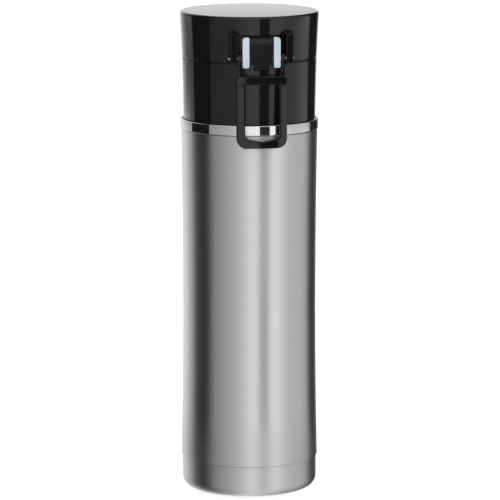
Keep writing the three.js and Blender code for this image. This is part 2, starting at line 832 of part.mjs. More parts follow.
const latch = group(
  piece('latch_lever', latchLever(), satinBlack()),
  piece('latch_accent_left', mirroredX(accentBar()), paleAccent()),
  piece('latch_accent_right', accentBar(), paleAccent()),
);

const loop = group(piece('carry_loop', carryLoop(), glossBlack()));

export default group(vessel, lidBase, cap, latch, loop);
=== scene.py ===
"""Looks of the vacuum flask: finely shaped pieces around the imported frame, materials, studio and camera.

Pieces are made in millimetres in the row frame (+Z up, latch towards -Y) and scaled to metres at the end.
"""

import json
import math

import bmesh
import bpy
import numpy as np
from mathutils import Matrix, Vector


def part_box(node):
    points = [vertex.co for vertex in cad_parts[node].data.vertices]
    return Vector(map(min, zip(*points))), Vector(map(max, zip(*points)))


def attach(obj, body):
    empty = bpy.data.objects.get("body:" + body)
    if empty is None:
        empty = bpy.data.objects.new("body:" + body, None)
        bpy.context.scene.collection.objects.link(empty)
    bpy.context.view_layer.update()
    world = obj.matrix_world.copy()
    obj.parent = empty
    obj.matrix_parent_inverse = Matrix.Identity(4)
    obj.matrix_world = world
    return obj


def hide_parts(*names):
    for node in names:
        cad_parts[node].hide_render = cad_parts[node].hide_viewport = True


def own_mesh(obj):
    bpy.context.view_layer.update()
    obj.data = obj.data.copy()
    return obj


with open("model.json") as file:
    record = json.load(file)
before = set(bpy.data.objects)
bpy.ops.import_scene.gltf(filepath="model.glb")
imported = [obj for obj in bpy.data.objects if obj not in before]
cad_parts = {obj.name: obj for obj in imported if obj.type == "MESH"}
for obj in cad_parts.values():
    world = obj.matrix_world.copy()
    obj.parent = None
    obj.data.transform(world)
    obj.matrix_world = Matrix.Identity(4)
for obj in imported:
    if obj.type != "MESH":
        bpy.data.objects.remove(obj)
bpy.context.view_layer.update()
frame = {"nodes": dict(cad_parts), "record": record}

# ---------------------------------------------------------------- sizes, in millimetres

MM = 0.001
AROUND = 192  # segments round a large body
SHARP_ANGLE = math.radians(32)
SMOOTH = -1  # in an outline: the normal turns smoothly through this corner
ALIGNED = 0.97  # cosine above which a face belongs to a stretch of the outline
FRONT = -45  # in front of every piece, where cuts run out


def span(node):
    """Lowest and highest corner of a CAD node, in millimetres."""
    low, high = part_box(node)
    return low / MM, high / MM


SHELL_LOW, SHELL_HIGH = span("outer_shell")
BASE_LOW, BASE_HIGH = span("base_cup")
_, PAD_HIGH = span("base_pad")
RING_LOW, RING_HIGH = span("neck_trim_ring")
SLEEVE_LOW, SLEEVE_HIGH = span("thread_sleeve")
SPOUT_LOW, SPOUT_HIGH = span("drinking_spout")
_, CAP_HIGH = span("flip_cap")
DISC_LOW, DISC_HIGH = span("cap_liner")
SEAL_LOW, SEAL_HIGH = span("cap_seal")
LEVER_LOW, LEVER_HIGH = span("latch_lever")
BAR_LOW, BAR_HIGH = span("latch_accent_right")
LATCH_PIN_LOW, LATCH_PIN_HIGH = span("latch_pin")
HINGE_PIN_LOW, HINGE_PIN_HIGH = span("hinge_pin")

GAP = 0.3
HEIGHT = CAP_HIGH.z  # at the middle of the domed top
CAP_DOME = 0.4
CAP_EDGE_RADIUS = 1.3
CAP_RADIUS = CAP_HIGH.x
COLLAR_FOOT_RADIUS = 34.25
RING_RADIUS = RING_HIGH.x
SHELL_BOTTOM_RADIUS = SHELL_HIGH.x
SHELL_TOP_RADIUS = 35.3
WAIST_RADIUS = 34.55
WAIST_Z = 103.5
SHELL_WALL = 0.5
SEAM_Z = 226.6
CAP_FOOT_Z = SEAM_Z + GAP / 2 + 0.05

HINGE = Vector((0, (HINGE_PIN_LOW.y + HINGE_PIN_HIGH.y) / 2, (HINGE_PIN_LOW.z + HINGE_PIN_HIGH.z) / 2))
LATCH = Vector((0, (LATCH_PIN_LOW.y + LATCH_PIN_HIGH.y) / 2, (LATCH_PIN_LOW.z + LATCH_PIN_HIGH.z) / 2))
KNUCKLE_RADIUS = 2.6
PIN_BORE = 1.35
LATCH_BORE = 1.2


def lid_radius(z):
    """The lid flares upward from the neck ring to the cap's top edge."""
    rise = (z - RING_HIGH.z) / (HEIGHT - RING_HIGH.z)
    return COLLAR_FOOT_RADIUS + (CAP_RADIUS - COLLAR_FOOT_RADIUS) * (0.45 * rise + 0.55 * abs(rise) ** 2.5)


def body_radius(z):
    """The body narrows to a waist from both ends."""
    end_radius, end_z = (SHELL_TOP_RADIUS, RING_LOW.z) if z > WAIST_Z else (SHELL_BOTTOM_RADIUS, SHELL_LOW.z)
    return WAIST_RADIUS + (end_radius - WAIST_RADIUS) * ((z - WAIST_Z) / (end_z - WAIST_Z)) ** 2


# ---------------------------------------------------------------- outlines


class Outline:
    """A section through a turned piece, from corners (radius, height, rounding), going up the outside.

    Each corner of the finished line keeps the normals of the stretch before it and of the stretch after it.
    """

    def __init__(self, corners, closed=True, arc_steps=6):
        self.closed = closed
        corners = [(*c, 0)[:3] for c in corners]
        flat = [np.array(c[:2], float) for c in corners]
        count = len(corners)
        self.points, self.before, self.after = [], [], []
        for i, (_, _, rounding) in enumerate(corners):
            inner = closed or 0 < i < count - 1
            here = flat[i]
            back = unit(here - flat[i - 1]) if inner or i else unit(flat[i + 1] - here)
            ahead = unit(flat[(i + 1) % count] - here) if inner or i < count - 1 else back
            if not inner or rounding == 0:
                self.add(here, outward(back), outward(ahead))
            elif rounding == SMOOTH:
                normal = unit(outward(back) + outward(ahead))
                self.add(here, normal, normal)
            else:
                self.add_arc(here, back, ahead, rounding, arc_steps)

    def add(self, point, before, after):
        self.points.append(point)
        self.before.append(before)
        self.after.append(after)

    def add_arc(self, corner, back, ahead, radius, steps):
        turn = math.atan2(back[0] * ahead[1] - back[1] * ahead[0], float(back @ ahead))
        reach = radius * math.tan(abs(turn) / 2)
        side = math.copysign(1, turn)
        centre = corner - back * reach - outward(back) * radius * side
        for k in range(steps + 1):
            angle = turn * k / steps
            normal = rotated(outward(back), angle)
            self.add(centre + normal * radius * side, normal, normal)

    def stretches(self):
        count = len(self.points)
        last = count if self.closed else count - 1
        for i in range(last):
            j = (i + 1) % count
            yield self.points[i], self.points[j], self.after[i], self.before[j]


def unit(v):
    return v / max(float(np.linalg.norm(v)), 1e-12)


def outward(direction):
    return np.array([direction[1], -direction[0]])


def rotated(v, angle):
    c, s = math.cos(angle), math.sin(angle)
    return np.array([c * v[0] - s * v[1], s * v[0] + c * v[1]])


def wall(radius_at, low, high, steps, inset=0.0):
    """Corners up (or down) a curved wall, without its two ends."""
    heights = [low + (high - low) * i / steps for i in range(1, steps)]
    return [(radius_at(z) - inset, z, SMOOTH) for z in heights]


# ---------------------------------------------------------------- meshes


def new_object(name, vertices, faces):
    mesh = bpy.data.meshes.new(name)
    mesh.from_pydata([tuple(v) for v in vertices], [], faces)
    mesh.validate()
    piece = bpy.data.objects.new(name, mesh)
    bpy.context.scene.collection.objects.link(piece)
    return piece


def turned(name, outline, around=AROUND):
    """A solid turned about Z. Points on the axis are shared."""
    vertices, rings = [], []
    for radius, z in outline.points:
        start = len(vertices)
        if radius < 1e-6:
            vertices.append((0, 0, z))
            rings.append([start] * around)
        else:
            for k in range(around):
                angle = 2 * math.pi * k / around
                vertices.append((radius * math.cos(angle), radius * math.sin(angle), z))
            rings.append(list(range(start, start + around)))
    faces = []
    count = len(rings)
    for i in range(count if outline.closed else count - 1):
        low, high = rings[i], rings[(i + 1) % count]
        for k in range(around):
            m = (k + 1) % around
            corners = [low[k], low[m], high[m], high[k]]
            faces.append(list(dict.fromkeys(corners)))
    return new_object(name, vertices, faces)


def prism(name, points, axis, low, high, rounding=0.0, steps=3):
    """A flat outline extruded along X or Y, with all its edges rounded."""
    if axis == "X":
        places = [[(x, u, v) for u, v in points] for x in (low, high)]
    else:
        places = [[(u, y, v) for u, v in points] for y in (high, low)]
    count = len(points)
    sides = [[i, (i + 1) % count, count + (i + 1) % count, count + i] for i in range(count)]
    ends = [list(range(count))[::-1], list(range(count, 2 * count))]
    piece = new_object(name, places[0] + places[1], sides + ends)
    return round_edges(piece, rounding, steps) if rounding else outside_out(piece)


def outside_out(piece):
    work = bmesh.new()
    work.from_mesh(piece.data)
    bmesh.ops.recalc_face_normals(work, faces=work.faces)
    work.to_mesh(piece.data)
    work.free()
    return piece


def round_edges(piece, width, steps, least_angle=20):
    work = bmesh.new()
    work.from_mesh(piece.data)
    bmesh.ops.recalc_face_normals(work, faces=work.faces)
    edges = [e for e in work.edges if e.calc_face_angle(0) > math.radians(least_angle)]
    bmesh.ops.bevel(
        work, geom=edges, offset=width, segments=steps, profile=0.5, affect="EDGES", clamp_overlap=True
    )
    bmesh.ops.recalc_face_normals(work, faces=work.faces)
    work.to_mesh(piece.data)
    work.free()
    return piece


def box(name, x, y, z, rounding=0.0, steps=3):
    outline = [(x[0], z[0]), (x[1], z[0]), (x[1], z[1]), (x[0], z[1])]
    return prism(name, outline, "Y", y[0], y[1], rounding, steps)


def rod(name, radius, x, y, z, around=48, rounding=0.0):
    """A round bar along X."""
    half = (x[1] - x[0]) / 2
    corners = [(0, -half), (radius, -half, rounding), (radius, half, rounding), (0, half)]
    piece = turned(name, Outline(corners, closed=False, arc_steps=5), around)
    turn = Matrix.Rotation(math.pi / 2, 4, "Y")
    piece.data.transform(Matrix.Translation(((x[0] + x[1]) / 2, y, z)) @ turn)
    return piece


def mirrored(piece, name):
    twin = bpy.data.objects.new(name, piece.data.copy())
    bpy.context.scene.collection.objects.link(twin)
    twin.data.transform(Matrix.Diagonal((-1, 1, 1, 1)))
    twin.data.flip_normals()
    return twin


def settle(piece):
    """Applies the piece's modifiers."""
    graph = bpy.context.evaluated_depsgraph_get()
    mesh = bpy.data.meshes.new_from_object(piece.evaluated_get(graph))
    old = piece.data
    piece.modifiers.clear()
    piece.data = mesh
    bpy.data.meshes.remove(old)
    return piece


def combine(piece, operation, others):
    for other in others:
        step = piece.modifiers.new(operation, "BOOLEAN")
        step.operation = operation
        step.solver = "MANIFOLD"
        step.object = other
    settle(piece)
    for other in others:
        bpy.data.objects.remove(other)
    return piece


def join(piece, *others):
    return combine(piece, "UNION", others)


def cut(piece, *others):
    return combine(piece, "DIFFERENCE", others)


# ---------------------------------------------------------------- shading normals


def shade(piece, outline=None, tolerance=0.03):
    """Smooth shading: big faces keep their own normal, and turned faces take the outline's exact one."""
    mesh = piece.data
    mesh.polygons.foreach_set("use_smooth", [True] * len(mesh.polygons))
    mesh.set_sharp_from_angle(angle=SHARP_ANGLE)
    weighted = piece.modifiers.new("weighted", "WEIGHTED_NORMAL")
    weighted.keep_sharp = True
    weighted.weight = 100
    settle(piece)
    mesh = piece.data
    normals = np.zeros(len(mesh.loops) * 3)
    mesh.corner_normals.foreach_get("vector", normals)
    normals = normals.reshape(-1, 3)
    if outline is not None:
        exact, found = outline_normals(mesh, outline, tolerance)
        normals[found] = exact[found]
    mesh.normals_split_custom_set([tuple(n) for n in normals])
    return piece


def outline_normals(mesh, outline, tolerance):
    """The outline's normal at each corner of each face, where the face lies on the turned surface."""
    places = np.zeros(len(mesh.vertices) * 3)
    mesh.vertices.foreach_get("co", places)
    places = places.reshape(-1, 3)
    owners = np.zeros(len(mesh.loops), int)
    mesh.loops.foreach_get("vertex_index", owners)
    facing = np.zeros((len(mesh.loops), 3))
    centres = np.zeros((len(mesh.loops), 3))
    for face in mesh.polygons:
        rows = slice(face.loop_start, face.loop_start + face.loop_total)
        facing[rows] = face.normal
        centres[rows] = face.center
    corner = places[owners]
    radius = np.hypot(corner[:, 0], corner[:, 1])
    around = np.where(radius[:, None] > 1e-6, corner[:, :2], centres[:, :2])
    around = around / np.maximum(np.hypot(around[:, 0], around[:, 1]), 1e-9)[:, None]
    centre_radius = np.maximum(np.hypot(centres[:, 0], centres[:, 1]), 1e-9)
    face_out = (facing[:, 0] * centres[:, 0] + facing[:, 1] * centres[:, 1]) / centre_radius
    best = np.full(len(mesh.loops), -1.0)
    exact = np.zeros((len(mesh.loops), 3))
    for start, end, first, last in outline.stretches():
        run = end - start
        length = float(run @ run)
        if length < 1e-12:
            continue
        share = ((radius - start[0]) * run[0] + (corner[:, 2] - start[1]) * run[1]) / length
        share = np.clip(share, 0, 1)
        away = np.hypot(start[0] + share * run[0] - radius, start[1] + share * run[1] - corner[:, 2])
        section = unit(outward(run))
        match = face_out * section[0] + facing[:, 2] * section[1]
        better = (away < tolerance) & (match > ALIGNED) & (match > best)
        normal = first[None, :] * (1 - share[:, None]) + last[None, :] * share[:, None]
        normal = normal / np.maximum(np.linalg.norm(normal, axis=1), 1e-9)[:, None]
        exact[better, :2] = (around * normal[:, :1])[better]
        exact[better, 2] = normal[better, 1]
        best[better] = match[better]
    return exact, best > 0


# ---------------------------------------------------------------- materials


class Finish:
    """A material under construction: its Principled shader and short ways to add nodes."""

    def __init__(self, name, **sockets):
        self.material = bpy.data.materials.new(name)
        self.material.use_nodes = True
        self.nodes = self.material.node_tree.nodes
        self.links = self.material.node_tree.links
        self.shader = self.nodes["Principled BSDF"]
        for socket, value in sockets.items():
            self.shader.inputs[socket.replace("_", " ")].default_value = value

    def node(self, kind, **settings):
        made = self.nodes.new(kind)
        for key, value in settings.items():
            setattr(made, key, value)
        return made

    def place(self, stretch=(1, 1, 1)):
        """The piece's own coordinates in metres, stretched."""
        coordinates = self.node("ShaderNodeTexCoord")
        mapping = self.node("ShaderNodeMapping")
        mapping.inputs["Scale"].default_value = stretch
        self.links.new(coordinates.outputs["Object"], mapping.inputs["Vector"])
        return mapping.outputs["Vector"]

    def noise(self, scale, detail=2.0, roughness=0.5, stretch=(1, 1, 1)):
        texture = self.node("ShaderNodeTexNoise")
        texture.inputs["Scale"].default_value = scale
        texture.inputs["Detail"].default_value = detail
        texture.inputs["Roughness"].default_value = roughness
        self.links.new(self.place(stretch), texture.inputs["Vector"])
        return texture.outputs["Fac"]

    def between(self, value, low, high, start=0.3, end=0.7):
        """A value from start to end becomes low to high."""
        ranged = self.node("ShaderNodeMapRange")
        for socket, number in (("From Min", start), ("From Max", end), ("To Min", low), ("To Max", high)):
            ranged.inputs[socket].default_value = number
        self.links.new(value, ranged.inputs["Value"])
        return ranged.outputs["Result"]

    def blend(self, value, first, second):
        mix = self.node("ShaderNodeMix", data_type="RGBA")
        mix.inputs["A"].default_value = (*first, 1)
        mix.inputs["B"].default_value = (*second, 1)
        self.links.new(value, mix.inputs["Factor"])
        return mix.outputs["Result"]

    def set(self, socket, value):
        self.links.new(value, self.shader.inputs[socket])

    def bump(self, height, distance, strength=1.0, after=None):
        made = self.node("ShaderNodeBump")
        made.inputs["Distance"].default_value = distance
        made.inputs["Strength"].default_value = strength
        self.links.new(height, made.inputs["Height"])
        if after is not None:
            self.links.new(after, made.inputs["Normal"])
        return made.outputs["Normal"]


EDGE_TINT = (0.62, 0.62, 0.63, 1)  # steel reflects a little less at a grazing angle


def brushed_steel():
    """Stainless steel brushed round the body: fine level scratches that spread reflections up and down.

    The brushing is coarser towards the foot.
    """
    finish = Finish(
        "brushed_steel",
        Metallic=1.0,
        Anisotropic=0.78,
        Anisotropic_Rotation=0.25,
        Specular_Tint=EDGE_TINT,
    )
    tangent = finish.node("ShaderNodeTangent", direction_type="RADIAL", axis="Z")
    finish.links.new(tangent.outputs["Tangent"], finish.shader.inputs["Tangent"])
    scratches = finish.noise(1.0, 3.0, 0.65, stretch=(26, 26, 5200))
    bands = finish.noise(1.0, 2.0, 0.5, stretch=(9, 9, 420))
    clouds = finish.noise(14.0, 2.0)
    tone = finish.node("ShaderNodeMath", operation="ADD")
    finish.links.new(finish.between(scratches, -0.035, 0.035), tone.inputs[0])
    finish.links.new(finish.between(bands, 0.47, 0.53), tone.inputs[1])
    finish.set("Base Color", finish.blend(tone.outputs["Value"], (0.63, 0.635, 0.645), (0.97, 0.975, 0.98)))
    height = finish.node("ShaderNodeSeparateXYZ")
    finish.links.new(finish.place(), height.inputs["Vector"])
    coarser = finish.between(height.outputs["Z"], 0.065, 0.0, 0.026, 0.044)
    roughness = finish.node("ShaderNodeMath", operation="ADD")
    finish.links.new(finish.between(scratches, -0.03, 0.03), roughness.inputs[0])
    finish.links.new(finish.between(clouds, 0.37, 0.41), roughness.inputs[1])
    whole = finish.node("ShaderNodeMath", operation="ADD")
    finish.links.new(roughness.outputs["Value"], whole.inputs[0])
    finish.links.new(coarser, whole.inputs[1])
    finish.set("Roughness", whole.outputs["Value"])
    finish.set("Normal", finish.bump(scratches, 0.000006, 0.5))
    return finish.material


def polished_steel():
    finish = Finish("polished_steel", Metallic=1.0, Specular_Tint=EDGE_TINT)
    smears = finish.noise(45.0, 3.0)
    finish.set("Base Color", finish.blend(smears, (0.86, 0.865, 0.875), (0.93, 0.935, 0.94)))
    finish.set("Roughness", finish.between(smears, 0.035, 0.075))
    finish.set("Normal", finish.bump(finish.noise(1.0, 2.0, 0.5, stretch=(30, 30, 900)), 0.000002, 0.3))
    return finish.material


def plain_steel(name, tone, rough, grain):
    """Ground or drawn steel of small parts."""
    finish = Finish(name, Metallic=1.0)
    marks = finish.noise(1.0, 3.0, 0.6, stretch=grain)
    finish.set("Base Color", finish.blend(marks, (tone * 0.88,) * 3, (tone, tone, tone * 1.01)))
    finish.set("Roughness", finish.between(marks, rough - 0.05, rough + 0.08))
    finish.set("Normal", finish.bump(marks, 0.000008, 0.4))
    return finish.material


def moulded(name, color, rough, texture=0.000004, texture_scale=900.0, wear=0.04, **sockets):
    """Moulded plastic: a slight orange peel, and handling marks that vary the gloss."""
    finish = Finish(name, **sockets)
    handling = finish.noise(38.0, 4.0, 0.6)
    peel = finish.noise(texture_scale, 2.0, 0.5)
    lighter = tuple(c * 1.25 + 0.0008 for c in color)
    finish.set("Base Color", finish.blend(finish.between(handling, 0, 1), color, lighter))
    finish.set("Roughness", finish.between(handling, rough, rough + wear))
    finish.set("Normal", finish.bump(peel, texture, 0.5))
    return finish.material


def rubbery(name, color, rough, **sockets):
    finish = Finish(name, **sockets)
    dust = finish.noise(120.0, 4.0, 0.6)
    grain = finish.noise(2600.0, 2.0)
    finish.set("Base Color", finish.blend(finish.between(dust, 0, 1), color, tuple(c * 1.3 for c in color)))
    finish.set("Roughness", finish.between(dust, rough - 0.06, rough + 0.06))
    finish.set("Normal", finish.bump(grain, 0.00002, 0.4))
    return finish.material


def crumpled_foil():
    finish = Finish("foil", Metallic=1.0)
    folds = finish.node("ShaderNodeTexVoronoi", feature="DISTANCE_TO_EDGE")
    folds.inputs["Scale"].default_value = 110.0
    finish.links.new(finish.place(), folds.inputs["Vector"])
    finish.set("Base Color", finish.blend(finish.noise(60.0), (0.7, 0.7, 0.71), (0.85, 0.85, 0.86)))
    finish.set("Roughness", finish.between(finish.noise(200.0), 0.22, 0.4))
    finish.set("Normal", finish.bump(folds.outputs["Distance"], 0.0004, 0.5))
    return finish.material


MATERIALS = {
    "brushed_steel": brushed_steel(),
    "polished_steel": polished_steel(),
    "liner_steel": plain_steel("liner_steel", 0.72, 0.34, (200, 200, 200)),
    "pin_steel": plain_steel("pin_steel", 0.82, 0.18, (2600, 300, 300)),
    "foil": crumpled_foil(),
    "getter_metal": plain_steel("getter_metal", 0.35, 0.6, (900, 900, 900)),
    "seal_glass": moulded("seal_glass", (0.3, 0.38, 0.35), 0.08, Transmission_Weight=0.4),
    "gloss_black": moulded("gloss_black", (0.0048, 0.0048, 0.0051), 0.055, 0.0000025, 700.0, 0.035),
    "satin_black": moulded("satin_black", (0.005, 0.005, 0.0052), 0.15, 0.000006, 1500.0, 0.06),
    "inner_plastic": moulded("inner_plastic", (0.018, 0.018, 0.0195), 0.42, 0.00002, 2400.0, 0.1),
    "pale_accent": moulded("pale_accent", (0.46, 0.53, 0.585), 0.34, 0.000008, 1500.0, 0.08),
    "silicone": rubbery("silicone", (0.5, 0.52, 0.52), 0.48, Subsurface_Weight=0.25, Subsurface_Scale=0.002),
    "pad_rubber": rubbery("pad_rubber", (0.012, 0.012, 0.0125), 0.72),
}


def keep(piece, body, slot, *nodes):
    """Scales a finished piece to metres, and gives it its body, its material and the nodes it stands for."""
    custom = bool(piece.data.has_custom_normals)
    piece.data.transform(Matrix.Scale(MM, 4))
    if not custom:
        shade(piece)
    piece.data.materials.clear()
    piece.data.materials.append(MATERIALS[slot])
    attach(piece, body)
    if nodes:
        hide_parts(*nodes)
    return piece


# ---------------------------------------------------------------- vacuum vessel


def helical_ridge(name, wall_radius, depth, pitch, turns, start_z):
    """A thread ridge that fades out at both ends. It stands inward if depth is negative."""
    root_half, crest_half, buried, run_out, end_height = 0.9, 0.4, -0.3 * math.copysign(1, depth), 0.08, 0.25
    section = ((-root_half, buried), (root_half, buried), (crest_half, depth), (-crest_half, depth))
    steps = round(72 * turns)
    vertices, faces = [], []
    for i in range(steps + 1):
        along = i / steps
        height = min(1, end_height + min(along, 1 - along) / run_out)
        angle = 2 * math.pi * turns * along
        for across, rise in section:
            radius = wall_radius + (rise if rise == buried else rise * height)
            z = start_z + pitch * turns * along + across
            vertices.append((radius * math.cos(angle), radius * math.sin(angle), z))
    for i in range(steps):
        for k in range(4):
            m = (k + 1) % 4
            faces.append([4 * i + k, 4 * i + m, 4 * i + 4 + m, 4 * i + 4 + k])
    faces += [[3, 2, 1, 0], [4 * steps, 4 * steps + 1, 4 * steps + 2, 4 * steps + 3]]
    return outside_out(new_object(name, vertices, faces))


THREAD = {"pitch": 4, "depth": 1, "start": 198.5}
NECK_RADIUS = 27


def steel_body():
    low, seat_z, shoulder_z = SHELL_LOW.z, RING_LOW.z - GAP, 194.3
    seat_radius = RING_RADIUS - 1.6
    inner = SHELL_WALL
    outline = Outline([
        (body_radius(low), low, 0.25),
        *wall(body_radius, low, seat_z, 28),
        (body_radius(seat_z), seat_z, 0.2),
        (seat_radius, seat_z),
        (seat_radius, shoulder_z, 0.9),
        (NECK_RADIUS, shoulder_z, 0.6),
        (NECK_RADIUS, SHELL_HIGH.z, 0.2),
        (NECK_RADIUS - inner, SHELL_HIGH.z),
        (NECK_RADIUS - inner, shoulder_z - inner, 0.9),
        (seat_radius - inner, shoulder_z - inner, 0.6),
        (seat_radius - inner, seat_z - 0.8),
        *wall(body_radius, seat_z - 2, low, 12, inner),
        (body_radius(low) - inner, low),
    ])
    piece = turned("steel_body", outline)
    ridge = helical_ridge("ridge", NECK_RADIUS, THREAD["depth"], THREAD["pitch"], 2, THREAD["start"])
    return keep(shade(join(piece, ridge), outline), "flask", "brushed_steel", "outer_shell")


SEAM_CRACK = 0.07  # between the shell's and the base's rounded edges


def steel_base():
    radius, edge, wall_thickness = BASE_HIGH.x, 5.0, SHELL_WALL
    rim_z = BASE_LOW.z
    top, lip_top = SHELL_LOW.z - SEAM_CRACK, BASE_HIGH.z
    lip_radius = SHELL_BOTTOM_RADIUS - SHELL_WALL - 0.4
    recess_radius, recess_z = PAD_HIGH.x + GAP, PAD_HIGH.z + GAP
    outline = Outline([
        (1.5, recess_z),
        (recess_radius, recess_z, 0.2),
        (recess_radius + 0.3, rim_z, 0.25),
        (radius, rim_z, edge),
        (radius, top, 0.3),
        (lip_radius, top),
        (lip_radius, lip_top),
        (lip_radius - wall_thickness, lip_top),
        (lip_radius - wall_thickness, rim_z + wall_thickness, edge - wall_thickness),
        (recess_radius + 1.0, rim_z + wall_thickness),
        (recess_radius + 0.8, recess_z + wall_thickness),
        (1.5, recess_z + wall_thickness),
    ], arc_steps=14)
    return keep(shade(turned("steel_base", outline), outline), "flask", "brushed_steel", "base_cup")


def base_pad():
    """A rubber disc with shallow rings moulded into its underside."""
    radius, thickness = PAD_HIGH.x, PAD_HIGH.z
    groove_depth, groove_half = 0.35, 0.8
    corners = [(0, 0)]
    for groove in (7, 13, 19):
        corners += [
            (groove - groove_half, 0, 0.1),
            (groove - groove_half * 0.6, groove_depth, 0.1),
            (groove + groove_half * 0.6, groove_depth, 0.1),
            (groove + groove_half, 0, 0.1),
        ]
    corners += [(radius, 0, 0.35), (radius, thickness, 0.1), (0, thickness)]
    outline = Outline(corners, closed=False, arc_steps=4)
    return keep(shade(turned("rubber_base_pad", outline), outline), "flask", "pad_rubber", "base_pad")


def trim_ring():
    inside = RING_RADIUS - 1.3
    outline = Outline([
        (inside, RING_LOW.z),
        (RING_RADIUS, RING_LOW.z, 0.4),
        (RING_RADIUS, RING_HIGH.z, 0.4),
        (inside, RING_HIGH.z, 0.2),
    ])
    piece = turned("polished_neck_ring", outline)
    return keep(shade(piece, outline), "flask", "polished_steel", "neck_trim_ring")


# ---------------------------------------------------------------- lid base

# A low lip on the collar's top edge stands inside a step in the cap's lower edge, so that no light
# gets through. Its height, and how deep it and the step lie behind the outside.
LAP = {"height": 0.65, "collar": 1.05, "cap": 0.8}
COLLAR_CLEARANCE = 0.08  # from the ring to the collar
DECK_THICKNESS = 2.2
COLLAR_KNUCKLE = (7.0, 11.0)
CAP_KNUCKLE = (3.4, 6.7)
KNUCKLE_WEB_Y = 33.4
COLLAR_WEB_Y, CAP_WEB_Y = 34.6, 35.0  # where the webs meet the walls
WEB_REACH = 8
CATCH_RECESS = {"half": 3.7, "floor": -33.85, "low": 223.1, "high": 225.4}


def knuckle(name, x, web_z, wall_y, direction):
    """A hinge knuckle whose web runs back into the wall."""
    barrel = rod(name, KNUCKLE_RADIUS, x, HINGE.y, HINGE.z, 48, 0.3)
    edge_z = HINGE.z + 0.3 * direction
    web = [
        (KNUCKLE_WEB_Y, edge_z),
        (HINGE.y + KNUCKLE_RADIUS * 0.97, edge_z),
        (wall_y, web_z),
        (KNUCKLE_WEB_Y, web_z),
    ]
    return join(barrel, prism("web", web, "X", x[0] + 0.1, x[1] - 0.1, 0.1, 2))


def both_sides(piece):
    return piece, mirrored(piece, piece.name + "_left")


def hinge_bore():
    return rod("hinge_bore", PIN_BORE, (-14, 14), HINGE.y, HINGE.z)


def latch_bore():
    return rod("latch_bore", LATCH_BORE, (-20, 20), LATCH.y, LATCH.z)


def lid_collar():
    low, high = RING_HIGH.z + COLLAR_CLEARANCE, SEAM_Z - GAP
    wall_thickness, skirt, ledge = 1.8, 32.4, 31.3
    ledge_z = SLEEVE_HIGH.z - DECK_THICKNESS - GAP
    outline = Outline([
        (lid_radius(low), low, 0.2),
        *wall(lid_radius, low, high, 14),
        (lid_radius(high), high, 0.4),
        (lid_radius(high) - LAP["collar"], high),
        (lid_radius(high) - LAP["collar"], high + LAP["height"], 0.15),
        (lid_radius(high) - wall_thickness, high + LAP["height"], 0.2),
        (lid_radius(high) - wall_thickness, high - 1),
        (skirt + 0.2, ledge_z, 0.2),
        (ledge, ledge_z),
        (ledge, ledge_z - 1.2),
        (skirt, ledge_z - 2.4),
        (skirt, low, 0.2),
    ])
    relief_half = COLLAR_KNUCKLE[0] - GAP / 2
    piece = turned("gloss_collar", outline)
    cut(piece, rod("relief", KNUCKLE_RADIUS + GAP, (-relief_half, relief_half), HINGE.y, HINGE.z))
    join(piece, *both_sides(knuckle("collar_knuckle", COLLAR_KNUCKLE, SEAM_Z - WEB_REACH, COLLAR_WEB_Y, -1)))
    half, recess_z = CATCH_RECESS["half"], (CATCH_RECESS["low"], CATCH_RECESS["high"])
    cut(piece, hinge_bore(), box("catch_recess", (-half, half), (FRONT, CATCH_RECESS["floor"]), recess_z))
    return keep(shade(piece, outline), "lid_base", "gloss_black", "lid_collar")


def drinking_deck():
    """The screw sleeve with the deck that the spout stands on, and a drip groove round it."""
    deck_top = SLEEVE_HIGH.z
    deck_low = deck_top - DECK_THICKNESS
    bore, outside, deck_radius, hole = 28.4, 30.4, SLEEVE_HIGH.x, 13.9
    groove, groove_half, floor_half = 27.5, 1.4, 0.8
    groove_z = deck_top - 0.7
    outline = Outline([
        (bore, SLEEVE_LOW.z, 0.3),
        (outside, SLEEVE_LOW.z, 0.3),
        (outside, deck_low),
        (deck_radius, deck_low, 0.2),
        (deck_radius, deck_top, 0.5),
        (groove + groove_half, deck_top, 0.4),
        (groove + floor_half, groove_z, 0.3),
        (groove - floor_half, groove_z, 0.3),
        (groove - groove_half, deck_top, 0.4),
        (hole, deck_top, 0.2),
        (hole, deck_low, 0.2),
        (bore, deck_low),
    ])
    ridge = helical_ridge("ridge", bore, -THREAD["depth"], THREAD["pitch"], 1.25, THREAD["start"] + 2)
    piece = join(turned("screw_sleeve_and_deck", outline), ridge)
    return keep(shade(piece, outline), "lid_base", "inner_plastic", "thread_sleeve")


def drinking_spout():
    top, bottom = SPOUT_HIGH.z, SPOUT_LOW.z
    radius, wall_thickness, flange = 13.5, 2.2, SPOUT_HIGH.x
    flange_z = SLEEVE_HIGH.z + 2 * GAP + 1
    inside = radius - wall_thickness
    outline = Outline([
        (inside, bottom, 0.2),
        (radius, bottom, 0.2),
        (radius, flange_z),
        (flange, flange_z),
        (flange, flange_z + 1.2, 0.5),
        (radius + 1.0, flange_z + 2.0, 1.2),
        (radius - 0.2, flange_z + 6.0, 4.0),
        (radius, top - 3.0, 2.0),
        (radius, top, 1.05),
        (inside, top, 1.05),
    ], arc_steps=8)
    piece = turned("drinking_spout_body", outline, 128)
    return keep(shade(piece, outline), "lid_base", "inner_plastic", "drinking_spout")


def steel_pin(name, node, body, slimmer=1.0):
    low, high = span(node)
    radius = (high.z - low.z) / 2 * slimmer
    middle_y, middle_z = (low.y + high.y) / 2, (low.z + high.z) / 2
    piece = rod(name, radius, (low.x, high.x), middle_y, middle_z, 40, radius * 0.35)
    return keep(piece, body, "pin_steel", node)


